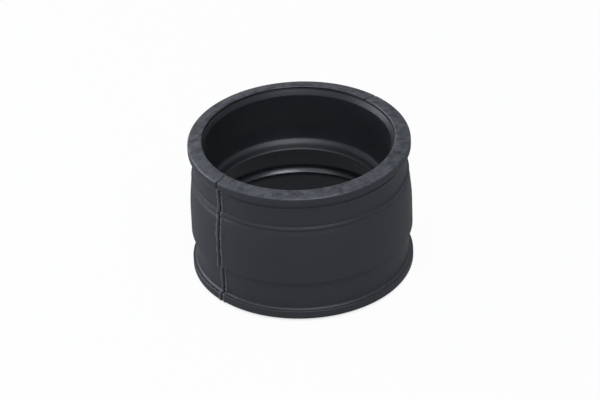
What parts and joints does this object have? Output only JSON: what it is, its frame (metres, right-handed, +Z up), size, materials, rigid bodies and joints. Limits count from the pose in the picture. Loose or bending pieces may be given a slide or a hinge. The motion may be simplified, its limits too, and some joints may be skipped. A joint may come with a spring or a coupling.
{
  "type": "charge air hose",
  "caption": "Short thick-walled rubber sleeve that joins two pipe ends, with end beads and clamp seats outside, and a pipe stop, a throat and a pocket inside.",
  "frame": {"origin": "middle of the bottom end, on the plane that the sleeve stands on", "axes": "+Z up along the bore, from the end with the wider clamp seat to the other; the mould's parting plane is upright and crosses the X axis at 43 degrees"},
  "size_m": [0.096, 0.0958, 0.0633],
  "materials": {
    "rubber": "dull moulded black rubber with a faint blue cast"
  },
  "bodies": {
    "root": {"rubber_sleeve": "rubber"}
  },
  "joints": []
}
